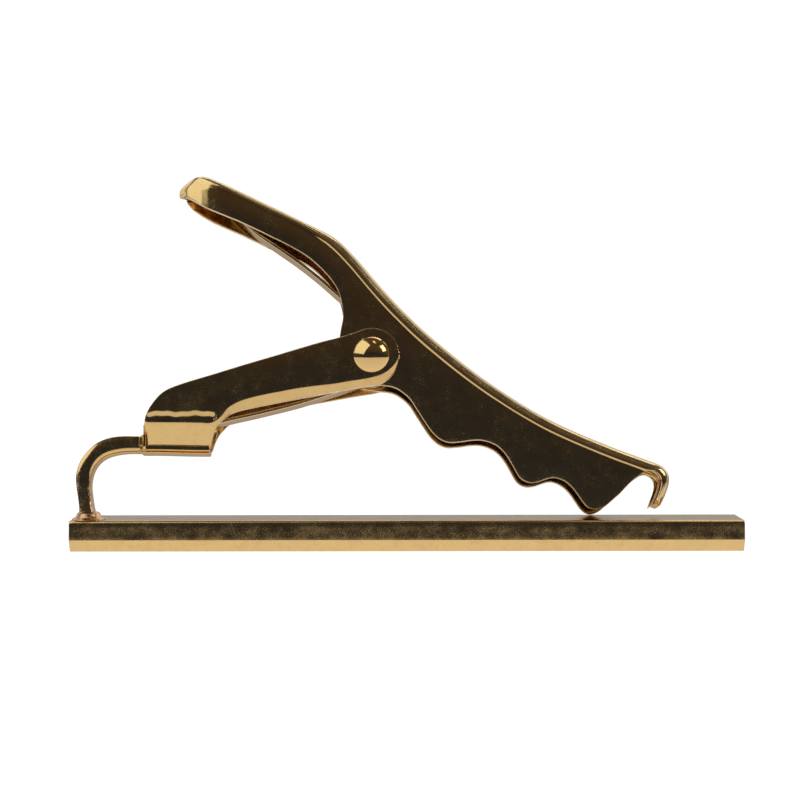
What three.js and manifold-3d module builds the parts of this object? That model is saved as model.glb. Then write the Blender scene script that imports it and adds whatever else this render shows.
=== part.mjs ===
// Tie clip: a solid front bar with a sprung alligator clip soldered to its back.
// Millimetres, +Z up. The clip lies on the decorative front face of its bar.
// Origin: centre of the bar's front face. +X runs along the bar towards the jaw.
import * as THREE from 'three';
import { mergeVertices } from 'three/addons/utils/BufferGeometryUtils.js';
import Module from 'manifold-3d';

// ---------- driving dimensions ----------
const BAR_LENGTH = 60.0;
const BAR_WIDTH = 6.2;           // across the crease between side and bevel
const BAR_HEIGHT = 2.78;
const SIDE_DRAFT = 0.14;         // the sides lean in towards the back
const BEVEL_HEIGHT = 1.05;       // bevel along both long edges of the front face
const BEVEL_DEPTH = 0.66;
const BAR_EDGE_BREAK = 0.12;     // broken edge along the back face
const THUMB_TIP = -17.55;        // end of the thumb lever, from the rivet
const BOW_LENGTH = 4.6;          // the thumb end narrows over this length
const BOW_TIP = 0.22;            // width left at the very end, of the full width

const HINGE = [-3.19, 2.18, 16.98];  // centre of the rivet
const CLIP_ROLL = 10.5;          // degrees: the clip leans on the bar, far side low
const CLIP_YAW = 2.0;            // degrees: the jaw points slightly to the far side

const SHEET = 0.5;               // stamped sheet thickness
const LEVER_WIDTH = 4.4;         // outside width of the jaw lever
const ARM_WIDTH = 5.6;           // outside width across the ears of the arm
const WEB_WIDTH = 3.2;           // flat bottom of the arm's trough
const TANG_WIDTH = 2.1;          // neck and foot of the arm
const TANG_FLOOR = 0.55;         // metal at the inner side of the tang

const SHAFT_RADIUS = 0.95;
const HOLE_RADIUS = 1.03;
const HEAD_RADIUS = 1.6;         // domed rivet head
const HEAD_HEIGHT = 0.78;
const TAIL_RADIUS = 1.5;         // formed rivet tail
const TAIL_HEIGHT = 0.5;

const SPRING_THICKNESS = 0.3;
const SPRING_WIDTH = 2.4;
const SPRING_LOOP = 2.3;         // radius of the loop's centre line

const SEAT_GAP = 0.03;           // clearance where two pieces touch

// ---------- side profiles in the clip's own frame: x along, z up, origin at the rivet ----------
// back of the jaw lever, thumb end to nose
const LEVER_BACK = [
  [-17.52, 15.10], [-17.54, 15.50], [-17.38, 15.90], [-17.02, 16.30], [-16.58, 16.58], [-16.10, 16.76],
  [-15.60, 16.83], [-15.15, 16.80], [-14.65, 16.63], [-14.10, 16.37], [-13.01, 15.86], [-11.91, 15.32],
  [-10.81, 14.78], [-9.72, 14.24], [-8.63, 13.71], [-7.53, 13.17], [-6.44, 12.62], [-5.35, 12.09],
  [-4.30, 11.58], [-3.55, 11.18], [-3.10, 10.87], [-2.60, 10.46], [-2.04, 9.90], [-0.99, 8.74],
  [0.09, 7.43], [1.18, 6.14], [2.26, 4.93], [3.34, 3.81], [4.41, 2.75], [5.49, 1.76],
  [6.57, 0.83], [7.64, -0.07], [8.72, -0.94], [9.79, -1.76], [10.86, -2.54], [11.94, -3.28],
  [13.01, -3.99], [14.08, -4.66], [15.15, -5.29], [16.22, -5.87], [17.30, -6.40], [18.37, -6.89],
  [19.44, -7.36], [20.51, -7.81], [21.58, -8.25], [22.65, -8.67], [23.73, -9.07], [24.80, -9.47],
  [25.50, -9.74], [26.02, -10.00], [26.38, -10.32], [26.60, -10.72], [26.68, -11.20], [26.60, -11.76],
  [26.38, -12.38], [26.12, -12.98], [25.86, -13.50],
];
// tip and inner face of the hooked lip
const LIP_TIP = [[25.66, -13.70], [25.32, -13.70]];
const LIP_INNER = [[25.14, -13.58], [25.25, -13.11], [25.45, -12.65], [25.63, -12.21], [25.72, -11.80], [25.74, -11.41], [25.66, -11.15], [25.48, -10.87], [25.25, -10.62], [25.06, -10.48]];
// lower edge of the side walls, nose to rivet: three teeth
const JAW_EDGE = [
  [24.87, -10.40], [24.50, -10.55], [24.14, -10.77], [23.50, -11.22], [23.04, -11.62], [22.59, -12.07],
  [22.13, -12.56], [21.67, -12.95], [21.22, -13.34], [20.76, -13.70], [20.31, -13.92], [19.87, -13.99],
  [19.42, -13.87], [18.98, -13.50], [18.55, -12.90], [18.11, -12.26], [17.67, -11.76], [17.23, -11.42],
  [16.79, -11.20], [16.34, -11.09], [15.89, -11.13], [15.26, -11.33], [14.73, -11.50], [14.10, -11.54],
  [13.65, -11.40], [13.30, -11.17], [13.04, -10.83], [12.78, -10.36], [12.34, -9.55], [11.90, -8.88],
  [11.46, -8.40], [11.02, -8.09], [10.31, -7.80], [9.68, -7.69], [8.79, -7.72], [8.34, -7.80],
  [7.44, -7.89], [6.99, -7.90], [6.55, -7.80], [6.10, -7.58], [5.66, -7.22], [5.21, -6.70],
  [4.77, -6.03], [4.33, -5.34], [3.92, -4.68], [3.60, -4.16], [3.25, -3.74], [2.80, -3.36],
  [2.30, -3.02], [1.75, -2.82], [1.10, -2.72],
];
// round the rivet, hidden between the ears
const LEVER_RIVET_EDGE = [[0.30, -2.64], [-0.70, -2.46], [-1.60, -1.98], [-2.25, -1.25], [-2.62, -0.40], [-2.78, 0.60], [-2.86, 1.50]];
// lower edge of the thumb limb, rivet to thumb end
const THUMB_EDGE = [
  [-2.72, 2.57], [-2.56, 3.40], [-2.56, 4.22], [-2.68, 5.00], [-2.84, 5.60], [-3.12, 6.26], [-3.71, 7.14],
  [-4.61, 8.13], [-5.52, 8.95], [-6.42, 9.58], [-7.33, 10.10], [-8.23, 10.57], [-9.14, 11.02], [-10.04, 11.48],
  [-10.95, 11.92], [-11.86, 12.36], [-12.80, 12.76], [-13.70, 13.15], [-14.60, 13.55], [-15.30, 13.92],
  [-15.95, 14.32], [-16.55, 14.70], [-17.10, 14.95],
];
// arm: rounded ear, top edge to the left end
const ARM_TOP = [
  [2.30, 0.95], [1.88, 1.64], [1.18, 2.17], [0.35, 2.43], [-0.45, 2.40], [-1.20, 2.14], [-2.00, 1.86],
  [-3.17, 1.52], [-4.25, 1.25], [-5.32, 0.95], [-6.40, 0.63], [-7.47, 0.31], [-8.54, -0.02], [-9.61, -0.33],
  [-10.69, -0.65], [-11.76, -0.97], [-12.83, -1.30], [-13.89, -1.63], [-14.96, -1.95], [-16.03, -2.27],
  [-17.09, -2.61], [-18.00, -2.96], [-18.66, -3.34], [-19.24, -3.92], [-19.82, -4.74], [-20.12, -5.36], [-20.26, -6.06],
];
// arm: left end, trough bottom, cut-out and lower edge of the ears
const ARM_BOTTOM = [
  [-20.30, -6.80], [-20.34, -7.60], [-20.36, -8.52], [-19.65, -8.55], [-17.38, -8.62], [-15.57, -8.70],
  [-14.90, -8.72], [-14.60, -8.56], [-14.42, -8.16], [-14.22, -7.40], [-13.92, -6.66], [-13.50, -6.10],
  [-12.98, -5.62], [-12.40, -5.26], [-11.75, -5.03], [-10.86, -4.83], [-9.07, -4.47], [-7.29, -4.13],
  [-5.51, -3.80], [-3.72, -3.47], [-1.93, -3.14], [-0.80, -2.95], [0.10, -2.82], [0.90, -2.60], [1.56, -2.15],
  [2.08, -1.46], [2.36, -0.75], [2.46, 0.00],
];
// outer (convex) and inner side of the neck and foot
const TANG_OUTER = [
  [-19.90, -7.04], [-20.90, -7.04], [-21.80, -7.02], [-22.60, -7.03], [-23.50, -7.16], [-24.30, -7.43], [-24.85, -7.76],
  [-25.31, -8.17], [-25.76, -8.66], [-26.13, -9.22], [-26.34, -9.75], [-26.47, -10.35], [-26.50, -11.03],
  [-26.40, -11.84], [-26.26, -12.74], [-26.16, -13.46], [-26.13, -14.38],
];
const TANG_INNER = [
  [-24.68, -14.24], [-24.86, -13.58], [-24.97, -13.04], [-25.09, -12.22], [-25.17, -11.55], [-25.12, -10.80],
  [-24.91, -10.08], [-24.56, -9.50], [-24.12, -9.09], [-23.62, -8.82], [-22.77, -8.60], [-21.87, -8.50],
  [-20.90, -8.50], [-19.90, -8.50],
];
// legs of the spring, outward from the loop: tip last
const SPRING_UPPER = [[-1.10, 4.16], [-3.00, 5.80], [-4.63, 7.27], [-6.44, 8.74], [-8.26, 10.05], [-10.20, 11.42], [-11.90, 12.86], [-13.10, 14.16], [-13.75, 14.98], [-14.30, 15.42]];
const SPRING_LOWER = [[-0.66, -2.28], [-3.00, -3.02], [-6.50, -4.12], [-10.00, -5.00], [-13.40, -5.78], [-15.20, -6.36], [-16.80, -7.10], [-18.00, -7.72], [-18.70, -7.86]];

// ---------- helpers ----------
const wasm = await Module();
wasm.setup();

const solid = (geometry) => {
  const g = geometry.clone();
  g.deleteAttribute('normal');
  g.deleteAttribute('uv');
  const m = mergeVertices(g, 1e-5);
  const tri = m.index ? Uint32Array.from(m.index.array) : Uint32Array.from({ length: m.attributes.position.count }, (_, i) => i);
  return new wasm.Manifold(new wasm.Mesh({ numProp: 3, vertProperties: Float32Array.from(m.attributes.position.array), triVerts: tri }));
};
const geometryOf = (manifold) => {
  const mesh = manifold.getMesh();
  const g = new THREE.BufferGeometry();
  g.setAttribute('position', new THREE.BufferAttribute(Float32Array.from(mesh.vertProperties), 3));
  g.setIndex(new THREE.BufferAttribute(Uint32Array.from(mesh.triVerts), 1));
  const flat = g.toNonIndexed();
  flat.computeVertexNormals();
  return flat;
};
const shapeOf = (points) => new THREE.Shape(points.map(([x, y]) => new THREE.Vector2(x, y)));
// plate cut to an x-z outline, between two y values
const plate = (points, y0, y1) => {
  const g = new THREE.ExtrudeGeometry(shapeOf(points), { depth: y1 - y0, bevelEnabled: false });
  g.rotateX(Math.PI / 2);
  g.translate(0, y1, 0);
  return solid(g);
};
// bar of a y-z section, given as (y, z), between two x values
const prism = (points, x0, x1) => {
  const g = new THREE.ExtrudeGeometry(shapeOf(points), { depth: x1 - x0, bevelEnabled: false });
  g.rotateZ(Math.PI / 2);
  g.rotateY(Math.PI / 2);
  g.translate(x0, 0, 0);
  return solid(g);
};
// block of an x-y outline, between two z values
const block = (points, z0, z1) => {
  const g = new THREE.ExtrudeGeometry(shapeOf(points), { depth: z1 - z0, bevelEnabled: false });
  g.translate(0, 0, z0);
  return solid(g);
};
const pinY = (radius, y0, y1, x = 0, z = 0, segments = 40) => {
  const g = new THREE.CylinderGeometry(radius, radius, y1 - y0, segments);
  g.translate(x, (y0 + y1) / 2, z);
  return solid(g);
};
// polyline moved sideways: positive is to the left of its direction
const offsetLine = (points, distance) => points.map(([x, z], i) => {
  const a = points[Math.max(0, i - 1)], b = points[Math.min(points.length - 1, i + 1)];
  const dx = b[0] - a[0], dz = b[1] - a[1], n = Math.hypot(dx, dz);
  return [x - (dz / n) * distance, z + (dx / n) * distance];
});

// ---------- front bar ----------
const halfBar = BAR_WIDTH / 2, halfBack = halfBar - SIDE_DRAFT;
const barSection = [
  [-(halfBar - BEVEL_DEPTH), 0], [halfBar - BEVEL_DEPTH, 0], [halfBar, BEVEL_HEIGHT],
  [halfBack, BAR_HEIGHT - BAR_EDGE_BREAK], [halfBack - BAR_EDGE_BREAK, BAR_HEIGHT],
  [-(halfBack - BAR_EDGE_BREAK), BAR_HEIGHT], [-halfBack, BAR_HEIGHT - BAR_EDGE_BREAK], [-halfBar, BEVEL_HEIGHT],
];
const bar = prism(barSection, -BAR_LENGTH / 2, BAR_LENGTH / 2);

// ---------- jaw lever ----------
const leverOutline = [...LEVER_BACK, ...LIP_TIP, ...LIP_INNER, ...JAW_EDGE, ...LEVER_RIVET_EDGE, ...THUMB_EDGE];
const halfLever = LEVER_WIDTH / 2;
let lever = plate(leverOutline, -halfLever, halfLever);
const webUnder = offsetLine(LEVER_BACK, -SHEET).filter(([x], i) => i > 7 && i < LEVER_BACK.length - 8);
const cavity = [
  [-16.95, -30], [-16.95, 15.55], [-16.70, 15.95], [-16.20, 16.22], [-15.60, 16.33],
  ...webUnder,
  [25.20, -10.36], [25.62, -10.56], [25.90, -10.78], [26.06, -11.10], [26.04, -11.55], [25.80, -12.20], [25.48, -12.90], [25.20, -13.52], [25.00, -30],
];
// seen from above, the thumb end narrows like the bow of a boat
const bow = (x) => {
  const t = Math.min(1, Math.max(0, (x - THUMB_TIP) / BOW_LENGTH));
  return Math.sqrt(BOW_TIP ** 2 + (1 - BOW_TIP ** 2) * (1 - (1 - t) ** 2));
};
const bowOutline = (half, shift) => {
  const side = [[THUMB_TIP - 1, half * bow(THUMB_TIP - shift)]];
  for (let i = 0; i <= 14; i++) {
    const x = THUMB_TIP + (BOW_LENGTH + shift) * (i / 14) ** 1.7;
    side.push([x, half * bow(x - shift)]);
  }
  side.push([40, half]);
  return [...side.map(([x, y]) => [x, -y]), ...side.reverse()];
};
lever = lever.intersect(block(bowOutline(halfLever, 0), -40, 40));
lever = lever.subtract(plate(cavity, -halfLever - 1, halfLever + 1).intersect(block(bowOutline(halfLever - SHEET, 0.42), -60, 40)));
lever = lever.subtract(pinY(HOLE_RADIUS, -halfLever - 1, halfLever + 1));

// ---------- arm: ears, trough and tang ----------
const halfArm = ARM_WIDTH / 2, halfWeb = WEB_WIDTH / 2;
const KNEE = -6.25;              // where the walls of the trough start to slant inwards
const armOutline = [...ARM_TOP, ...ARM_BOTTOM];
const armSide = plate(armOutline, -halfArm, halfArm);
const armSection = [[-halfArm, KNEE], [-halfWeb, -8.9], [halfWeb, -8.9], [halfArm, KNEE], [halfArm, 6], [-halfArm, 6]];
const innerKnee = KNEE + 0.12;
const innerSection = [
  [-(halfArm - SHEET), innerKnee], [-(halfWeb - 0.22), -8.12], [halfWeb - 0.22, -8.12], [halfArm - SHEET, innerKnee],
  [halfArm - SHEET, 8], [-(halfArm - SHEET), 8],
];
let arm = armSide.intersect(prism(armSection, -30, 10));
const troughEnd = -20.36 + SHEET;
const innerTrough = prism(innerSection, troughEnd, 10);
// above the end wall the channel runs out at the left
const innerTop = prism([[-(halfArm - SHEET), -6.05], [halfArm - SHEET, -6.05], [halfArm - SHEET, 8], [-(halfArm - SHEET), 8]], -24, troughEnd + 1);
arm = arm.subtract(innerTrough).subtract(innerTop);
// tang: a shallow channel, open on its outer side
const tangOutline = [...TANG_OUTER, ...TANG_INNER];
const halfTang = TANG_WIDTH / 2;
let tang = plate(tangOutline, -halfTang, halfTang);
const grooveInner = offsetLine(TANG_INNER, TANG_FLOOR);
const groove = [
  ...grooveInner.slice(2, -2), [-20.75, -7.95], [-20.75, -5.5], [-27.8, -5.5], [-27.8, -13.1],
];
tang = tang.subtract(plate(groove, -halfTang + SHEET, halfTang - SHEET));
arm = arm.add(tang);
arm = arm.subtract(pinY(HOLE_RADIUS, -halfArm - 1, halfArm + 1));

// ---------- rivet ----------
// profile from the axis at the domed head to the axis at the formed tail; y is along the rivet
const headSeat = halfArm + SEAT_GAP, tailSeat = halfArm + SEAT_GAP;
const rivetProfile = [[0, -(headSeat + HEAD_HEIGHT)]];
for (let i = 1; i <= 9; i++) {
  const a = (i / 9) * (Math.PI / 2);
  rivetProfile.push([HEAD_RADIUS * Math.sin(a), -(headSeat + 0.1) - (HEAD_HEIGHT - 0.1) * Math.cos(a)]);
}
rivetProfile.push([HEAD_RADIUS, -headSeat], [SHAFT_RADIUS, -headSeat], [SHAFT_RADIUS, tailSeat], [TAIL_RADIUS, tailSeat], [TAIL_RADIUS, tailSeat + 0.16]);
for (let i = 1; i <= 4; i++) {
  const a = (i / 4) * (Math.PI / 2);
  rivetProfile.push([TAIL_RADIUS * Math.cos(a) + (i === 4 ? -TAIL_RADIUS * Math.cos(Math.PI / 2) : 0), tailSeat + 0.16 + (TAIL_HEIGHT - 0.16) * Math.sin(a)]);
}
rivetProfile[rivetProfile.length - 1][0] = 0;
const rivetGeometry = new THREE.LatheGeometry(rivetProfile.map(([r, y]) => new THREE.Vector2(r, y)), 40);

// ---------- spring ----------
// centre line: upper tip, down the upper leg, round the loop, out along the lower leg
const upper = SPRING_UPPER.slice().reverse();
const loop = [];
for (let i = 0; i <= 12; i++) {
  const a = THREE.MathUtils.degToRad(44 - (i / 12) * (44 + 98));
  loop.push([SPRING_LOOP * Math.cos(a), SPRING_LOOP * Math.sin(a)]);
}
const springCurve = new THREE.SplineCurve([...upper, [0.45, 2.72], ...loop, ...SPRING_LOWER].map(([x, y]) => new THREE.Vector2(x, y)));
const springLine = springCurve.getPoints(72).map((p) => [p.x, p.y]);
const springOutline = [...offsetLine(springLine, SPRING_THICKNESS / 2), ...offsetLine(springLine, -SPRING_THICKNESS / 2).reverse()];
const spring = plate(springOutline, -SPRING_WIDTH / 2, SPRING_WIDTH / 2);

// ---------- solder fillet at the foot ----------
const toWorld = new THREE.Matrix4().makeRotationFromEuler(new THREE.Euler(-THREE.MathUtils.degToRad(CLIP_ROLL), 0, THREE.MathUtils.degToRad(CLIP_YAW), 'ZYX'));
toWorld.setPosition(...HINGE);
const placed = (manifold) => {
  const g = geometryOf(manifold);
  g.applyMatrix4(toWorld);
  return solid(g);
};
// the foot is trimmed level with the back of the bar
const belowBar = (() => {
  const g = new THREE.BoxGeometry(80, 40, 20);
  g.translate(0, 0, BAR_HEIGHT + SEAT_GAP - 10);
  g.applyMatrix4(toWorld.clone().invert());
  return solid(g);
})();
arm = arm.subtract(belowBar);

const footCentre = new THREE.Vector3(-25.40, 0, -14.2).applyMatrix4(toWorld);
const filletProfile = [[0, 0], [1.62, 0], [1.60, 0.05], [1.36, 0.14], [1.20, 0.28], [1.10, 0.46], [1.06, 0.62], [0, 0.62]];
const filletGeometry = new THREE.LatheGeometry(filletProfile.map(([r, y]) => new THREE.Vector2(r, y)), 48);
filletGeometry.rotateX(Math.PI / 2);
filletGeometry.scale(0.92, 1.12, 1);
filletGeometry.translate(footCentre.x, footCentre.y, BAR_HEIGHT + 0.01);
const grown = [...offsetLine(TANG_OUTER, -SEAT_GAP), [-26.1, -15.4], [-24.55, -15.4], ...offsetLine(TANG_INNER, -SEAT_GAP)].filter(([x, z]) => z < -12.5);
const footHole = placed(plate(grown, -halfTang - SEAT_GAP, halfTang + SEAT_GAP));
const fillet = solid(filletGeometry).subtract(footHole);

// ---------- scene graph ----------
const gold = (name, color, roughness) => {
  const m = new THREE.MeshStandardMaterial({ color, roughness, metalness: 1 });
  m.name = name;
  return m;
};
const named = (name, geometry, material) => {
  const mesh = new THREE.Mesh(geometry, material);
  mesh.name = name;
  return mesh;
};
const clip = new THREE.Group();
clip.position.set(...HINGE);
clip.rotation.set(-THREE.MathUtils.degToRad(CLIP_ROLL), 0, THREE.MathUtils.degToRad(CLIP_YAW), 'ZYX');
clip.add(
  named('base_arm', geometryOf(arm), gold('gold_plate_arm', 0xd9b36c, 0.14)),
  named('jaw_lever', geometryOf(lever), gold('gold_plate_lever', 0xd6ae66, 0.12)),
  named('pivot_rivet', rivetGeometry, gold('gold_plate_rivet', 0xdfb46a, 0.1)),
  named('leaf_spring', geometryOf(spring), gold('gold_plate_spring', 0xcfa765, 0.2)),
);

const part = new THREE.Group();
part.add(
  named('front_bar', geometryOf(bar), gold('gold_plate_bar', 0xdcb66e, 0.12)),
  named('solder_joint', geometryOf(fillet), gold('gold_plate_solder', 0xc99a5e, 0.3)),
  clip,
);
export default part;
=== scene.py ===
import math

import bmesh
import bpy
import numpy as np
from mathutils import Matrix, Vector

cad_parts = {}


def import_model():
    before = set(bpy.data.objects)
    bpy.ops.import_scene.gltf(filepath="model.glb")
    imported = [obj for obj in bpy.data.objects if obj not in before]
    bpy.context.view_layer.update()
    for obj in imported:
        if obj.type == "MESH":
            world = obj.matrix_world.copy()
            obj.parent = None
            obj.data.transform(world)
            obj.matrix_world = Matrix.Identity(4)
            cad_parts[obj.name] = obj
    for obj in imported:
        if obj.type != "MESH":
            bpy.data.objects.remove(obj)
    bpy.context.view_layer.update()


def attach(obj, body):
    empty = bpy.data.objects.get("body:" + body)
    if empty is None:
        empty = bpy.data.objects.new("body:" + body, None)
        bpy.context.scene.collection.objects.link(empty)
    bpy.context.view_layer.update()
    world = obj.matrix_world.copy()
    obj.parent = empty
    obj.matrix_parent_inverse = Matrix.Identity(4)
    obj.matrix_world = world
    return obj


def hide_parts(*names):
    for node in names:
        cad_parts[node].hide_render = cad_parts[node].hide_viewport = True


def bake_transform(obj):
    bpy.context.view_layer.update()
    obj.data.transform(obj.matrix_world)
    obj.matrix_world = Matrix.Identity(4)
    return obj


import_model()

MM = 0.001

# ---------------------------------------------------------------- the clip's own frame, in mm
HINGE = np.array([-3.19, 2.18, 16.98])
ROLL, YAW = math.radians(10.5), math.radians(2.0)
RX = np.array([[1, 0, 0], [0, math.cos(ROLL), math.sin(ROLL)], [0, -math.sin(ROLL), math.cos(ROLL)]])
RZ = np.array([[math.cos(YAW), -math.sin(YAW), 0], [math.sin(YAW), math.cos(YAW), 0], [0, 0, 1]])
ROT = RZ @ RX

SHEET = 0.5
HALF_LEVER = 2.2
HALF_ARM = 2.8
HALF_TANG = 1.05
BAR_LENGTH, BAR_HEIGHT = 60.0, 2.78
HALF_BAR, HALF_BACK, BEVEL_HEIGHT, BEVEL_DEPTH = 3.1, 2.96, 1.05, 0.66


def world(points):
    """Clip-frame millimetres to row-frame metres."""
    return (np.asarray(points, float) @ ROT.T + HINGE) * MM


# ---------------------------------------------------------------- side profiles, clip frame, mm
LEVER_BACK = [
    (-17.52, 15.10), (-17.54, 15.50), (-17.38, 15.90), (-17.02, 16.30), (-16.58, 16.58), (-16.10, 16.76),
    (-15.60, 16.83), (-15.15, 16.80), (-14.65, 16.63), (-14.10, 16.37), (-13.01, 15.86), (-11.91, 15.32),
    (-10.81, 14.78), (-9.72, 14.24), (-8.63, 13.71), (-7.53, 13.17), (-6.44, 12.62), (-5.35, 12.09),
    (-4.30, 11.58), (-3.55, 11.18), (-3.10, 10.87), (-2.60, 10.46), (-2.04, 9.90), (-0.99, 8.74),
    (0.09, 7.43), (1.18, 6.14), (2.26, 4.93), (3.34, 3.81), (4.41, 2.75), (5.49, 1.76),
    (6.57, 0.83), (7.64, -0.07), (8.72, -0.94), (9.79, -1.76), (10.86, -2.54), (11.94, -3.28),
    (13.01, -3.99), (14.08, -4.66), (15.15, -5.29), (16.22, -5.87), (17.30, -6.40), (18.37, -6.89),
    (19.44, -7.36), (20.51, -7.81), (21.58, -8.25), (22.65, -8.67), (23.73, -9.07), (24.80, -9.47),
    (25.50, -9.74), (26.02, -10.00), (26.38, -10.32), (26.60, -10.72), (26.68, -11.20), (26.60, -11.76),
    (26.38, -12.38), (26.12, -12.98), (25.80, -13.62),
]
LEVER_EDGE = [
    (-17.02, 15.00), (-16.55, 14.70), (-15.95, 14.32), (-15.30, 13.92), (-14.60, 13.55), (-13.70, 13.15),
    (-12.80, 12.76), (-11.86, 12.36), (-10.95, 11.92), (-10.04, 11.48), (-9.14, 11.02), (-8.23, 10.57),
    (-7.33, 10.10), (-6.42, 9.58), (-5.52, 8.95), (-4.61, 8.13), (-3.71, 7.14), (-3.12, 6.26), (-2.84, 5.60),
    (-2.68, 5.00), (-2.56, 4.22), (-2.56, 3.40), (-2.72, 2.57), (-2.86, 1.50), (-2.78, 0.60), (-2.62, -0.40),
    (-2.25, -1.25), (-1.60, -1.98), (-0.70, -2.46), (0.30, -2.64), (1.10, -2.72), (1.75, -2.82), (2.30, -3.02),
    (2.80, -3.36), (3.25, -3.74), (3.60, -4.16), (3.92, -4.68), (4.33, -5.34), (4.77, -6.03), (5.21, -6.70),
    (5.66, -7.22), (6.10, -7.58), (6.55, -7.80), (6.99, -7.90), (7.44, -7.89), (8.34, -7.80), (8.79, -7.72),
    (9.68, -7.69), (10.31, -7.80), (11.02, -8.09), (11.46, -8.40), (11.90, -8.88), (12.34, -9.55),
    (12.78, -10.36), (13.04, -10.83), (13.30, -11.17), (13.65, -11.40), (14.10, -11.54), (14.73, -11.50),
    (15.26, -11.33), (15.89, -11.13), (16.34, -11.09), (16.79, -11.20), (17.23, -11.42), (17.67, -11.76),
    (18.11, -12.26), (18.55, -12.90), (18.98, -13.50), (19.42, -13.87), (19.87, -13.98), (20.31, -13.92),
    (20.76, -13.70), (21.22, -13.34), (21.67, -12.95), (22.13, -12.56), (22.59, -12.07), (23.04, -11.62),
    (23.50, -11.22), (24.14, -10.77), (24.50, -10.55), (24.75, -10.44), (24.98, -10.45), (25.28, -10.64),
    (25.52, -10.92), (25.68, -11.20), (25.745, -11.45), (25.72, -11.82), (25.60, -12.28), (25.36, -12.86), (25.13, -13.60),
]
# rulings: back point to lower edge point
LEVER_PAIRS = [
    ((-17.52, 15.10), (-17.02, 15.00)), ((-17.02, 16.30), (-16.75, 14.82)), ((-16.10, 16.76), (-16.10, 14.42)),
    ((-15.15, 16.80), (-15.45, 14.01)), ((-13.01, 15.86), (-13.70, 13.15)), ((-8.63, 13.71), (-9.60, 11.25)),
    ((-4.30, 11.58), (-5.52, 8.95)), ((-2.60, 10.46), (-3.71, 7.14)), ((-0.99, 8.74), (-2.75, 5.25)),
    ((0.09, 7.43), (-2.56, 3.40)), ((1.18, 6.14), (-2.86, 1.50)), ((2.26, 4.93), (-2.62, -0.40)),
    ((3.34, 3.81), (-1.60, -1.98)), ((4.41, 2.75), (0.30, -2.64)), ((5.49, 1.76), (1.75, -2.82)),
    ((6.57, 0.83), (2.80, -3.36)), ((8.72, -0.94), (4.33, -5.34)), ((10.86, -2.54), (6.10, -7.58)),
    ((13.01, -3.99), (8.79, -7.72)), ((15.15, -5.29), (11.46, -8.40)), ((17.30, -6.40), (13.65, -11.40)),
    ((19.44, -7.36), (16.34, -11.09)), ((21.58, -8.25), (19.42, -13.87)), ((22.65, -8.67), (21.22, -13.34)),
    ((23.73, -9.07), (23.04, -11.62)), ((24.35, -9.30), (24.14, -10.77)), ((25.00, -9.55), (24.62, -10.49)),
    ((25.50, -9.74), (24.98, -10.45)), ((26.02, -10.00), (25.28, -10.64)), ((26.38, -10.32), (25.52, -10.92)),
    ((26.60, -10.72), (25.68, -11.20)), ((26.68, -11.20), (25.745, -11.45)), ((26.60, -11.76), (25.72, -11.82)),
    ((26.38, -12.38), (25.60, -12.28)), ((26.12, -12.98), (25.36, -12.86)), ((25.80, -13.62), (25.13, -13.60)),
]
ARM_TOP = [
    (-20.28, -6.20), (-20.22, -5.75), (-20.12, -5.36), (-19.82, -4.74), (-19.24, -3.92), (-18.66, -3.34), (-18.00, -2.96),
    (-17.09, -2.61), (-16.03, -2.27), (-14.96, -1.95), (-13.89, -1.63), (-12.83, -1.30), (-11.76, -0.97),
    (-10.69, -0.65), (-9.61, -0.33), (-8.54, -0.02), (-7.47, 0.31), (-6.40, 0.63), (-5.32, 0.95), (-4.25, 1.25),
    (-3.17, 1.52), (-2.00, 1.86), (-1.20, 2.14), (-0.45, 2.40), (0.35, 2.43), (1.18, 2.17), (1.88, 1.64),
    (2.30, 0.95), (2.44, 0.30),
]
ARM_BOTTOM = [
    (-20.36, -8.46), (-19.65, -8.48), (-17.38, -8.54), (-15.57, -8.58), (-14.90, -8.56), (-14.58, -8.42), (-14.40, -8.06),
    (-14.22, -7.40), (-13.92, -6.66), (-13.50, -6.10), (-12.98, -5.62), (-12.40, -5.26), (-11.75, -5.03),
    (-10.86, -4.83), (-9.07, -4.47), (-7.29, -4.13), (-5.51, -3.80), (-3.72, -3.47), (-1.93, -3.14),
    (-0.80, -2.95), (0.10, -2.82), (0.90, -2.60), (1.56, -2.15), (2.08, -1.46), (2.36, -0.75), (2.45, -0.25),
]
ARM_PAIRS = [
    ((-20.28, -6.20), (-20.36, -8.46)), ((-20.12, -5.36), (-20.05, -8.47)), ((-19.24, -3.92), (-19.20, -8.49)),
    ((-17.09, -2.61), (-17.38, -8.54)), ((-14.96, -1.95), (-15.35, -8.58)), ((-14.35, -1.77), (-14.58, -8.42)),
    ((-13.89, -1.63), (-14.36, -7.92)), ((-13.30, -1.45), (-13.98, -6.80)), ((-12.83, -1.30), (-13.50, -6.10)),
    ((-12.20, -1.11), (-12.70, -5.43)), ((-10.69, -0.65), (-10.86, -4.83)), ((-8.54, -0.02), (-8.60, -4.38)),
    ((-4.25, 1.25), (-4.20, -3.56)), ((-2.00, 1.86), (-1.93, -3.14)), ((-0.45, 2.40), (-0.30, -2.88)),
    ((0.35, 2.43), (0.62, -2.70)), ((1.18, 2.17), (1.38, -2.30)), ((1.88, 1.64), (1.98, -1.62)),
    ((2.30, 0.95), (2.34, -0.80)), ((2.44, 0.30), (2.45, -0.25)),
]
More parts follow.
